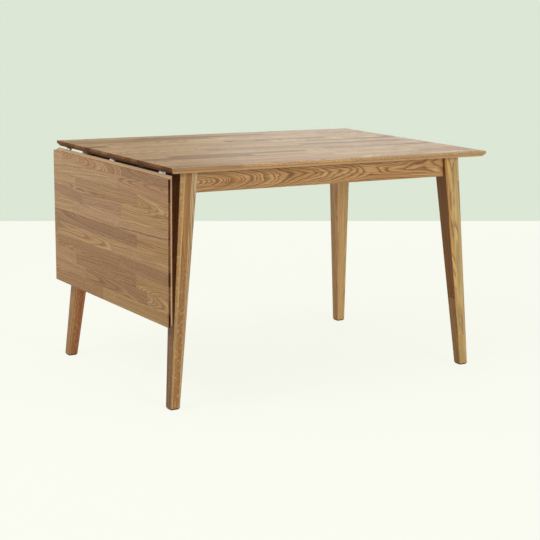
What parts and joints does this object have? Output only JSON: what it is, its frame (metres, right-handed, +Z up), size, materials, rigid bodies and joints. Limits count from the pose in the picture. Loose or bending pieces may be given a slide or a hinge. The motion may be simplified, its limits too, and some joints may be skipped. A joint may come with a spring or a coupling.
{
  "type": "drop-leaf dining table",
  "caption": "Oak dining table with splayed tapered legs, bevelled top and a drop leaf on butt hinges at a short end, carried when raised by pull-out flat steel bars.",
  "frame": {"origin": "on the floor, under the middle of the whole table as it stands with its leaf hanging", "axes": "+X along the table, away from the leaf; +Y to the back; +Z up"},
  "size_m": [1.213, 0.84, 0.75],
  "materials": {
    "top_oak": "oiled oak staves along the length, matt",
    "leaf_oak": "oiled oak staves along the hinge, matt",
    "leg_oak": "oiled laminated oak, matt",
    "rail_oak": "oiled oak with cathedral grain, matt",
    "frame_wood": "sanded oak, unoiled",
    "hinge_steel": "nickel-plated steel",
    "support_steel": "zinc-plated steel",
    "fastener_steel": "zinc-plated steel",
    "glide_plastic": "dark moulded plastic"
  },
  "bodies": {
    "table": {"back_rail": "rail_oak", "bar_guide_back_inner": "support_steel", "bar_guide_back_outer": "support_steel", "bar_guide_front_inner": "support_steel", "bar_guide_front_outer": "support_steel", "block_screws": "fastener_steel", "clip_screws": "fastener_steel", "corner_block_leaf_back": "frame_wood", "corner_block_leaf_front": "frame_wood", "corner_block_plain_back": "frame_wood", "corner_block_plain_front": "frame_wood", "cross_rail": "frame_wood", "front_rail": "rail_oak", "glide_leaf_back": "glide_plastic", "glide_leaf_front": "glide_plastic", "glide_plain_back": "glide_plastic", "glide_plain_front": "glide_plastic", "guide_screws": "fastener_steel", "hinge_pin_back": "hinge_steel", "hinge_pin_front": "hinge_steel", "hinge_pin_middle": "hinge_steel", "hinge_top_plate_back": "hinge_steel", "hinge_top_plate_front": "hinge_steel", "hinge_top_plate_middle": "hinge_steel", "hinge_top_screws": "fastener_steel", "leaf_end_rail": "rail_oak", "leg_bolts": "fastener_steel", "leg_leaf_back": "leg_oak", "leg_leaf_front": "leg_oak", "leg_nuts": "fastener_steel", "leg_plain_back": "leg_oak", "leg_plain_front": "leg_oak", "leg_washers": "fastener_steel", "plain_end_rail": "rail_oak", "table_top": "top_oak", "top_clips": "fastener_steel"},
    "leaf": {"drop_leaf": "leaf_oak", "hinge_leaf_plate_front": "hinge_steel", "hinge_leaf_plate_middle": "hinge_steel", "hinge_leaf_plate_back": "hinge_steel", "hinge_leaf_screws": "fastener_steel"},
    "front_bar": {"support_bar_front": "support_steel", "bar_stop_front": "support_steel"},
    "back_bar": {"support_bar_back": "support_steel", "bar_stop_back": "support_steel"}
  },
  "joints": [
    {"name": "leaf_hinge", "type": "hinge", "parent": "table", "child": "leaf", "pos_m": [-0.5845, 0, 0.728], "axis": [0, 1, 0], "range_deg": [0, 90]},
    {"name": "front_bar_slide", "type": "slide", "parent": "table", "child": "front_bar", "axis": [-1, 0, 0], "range_m": [0, 0.28]},
    {"name": "back_bar_slide", "type": "slide", "parent": "table", "child": "back_bar", "axis": [-1, 0, 0], "range_m": [0, 0.28]}
  ]
}
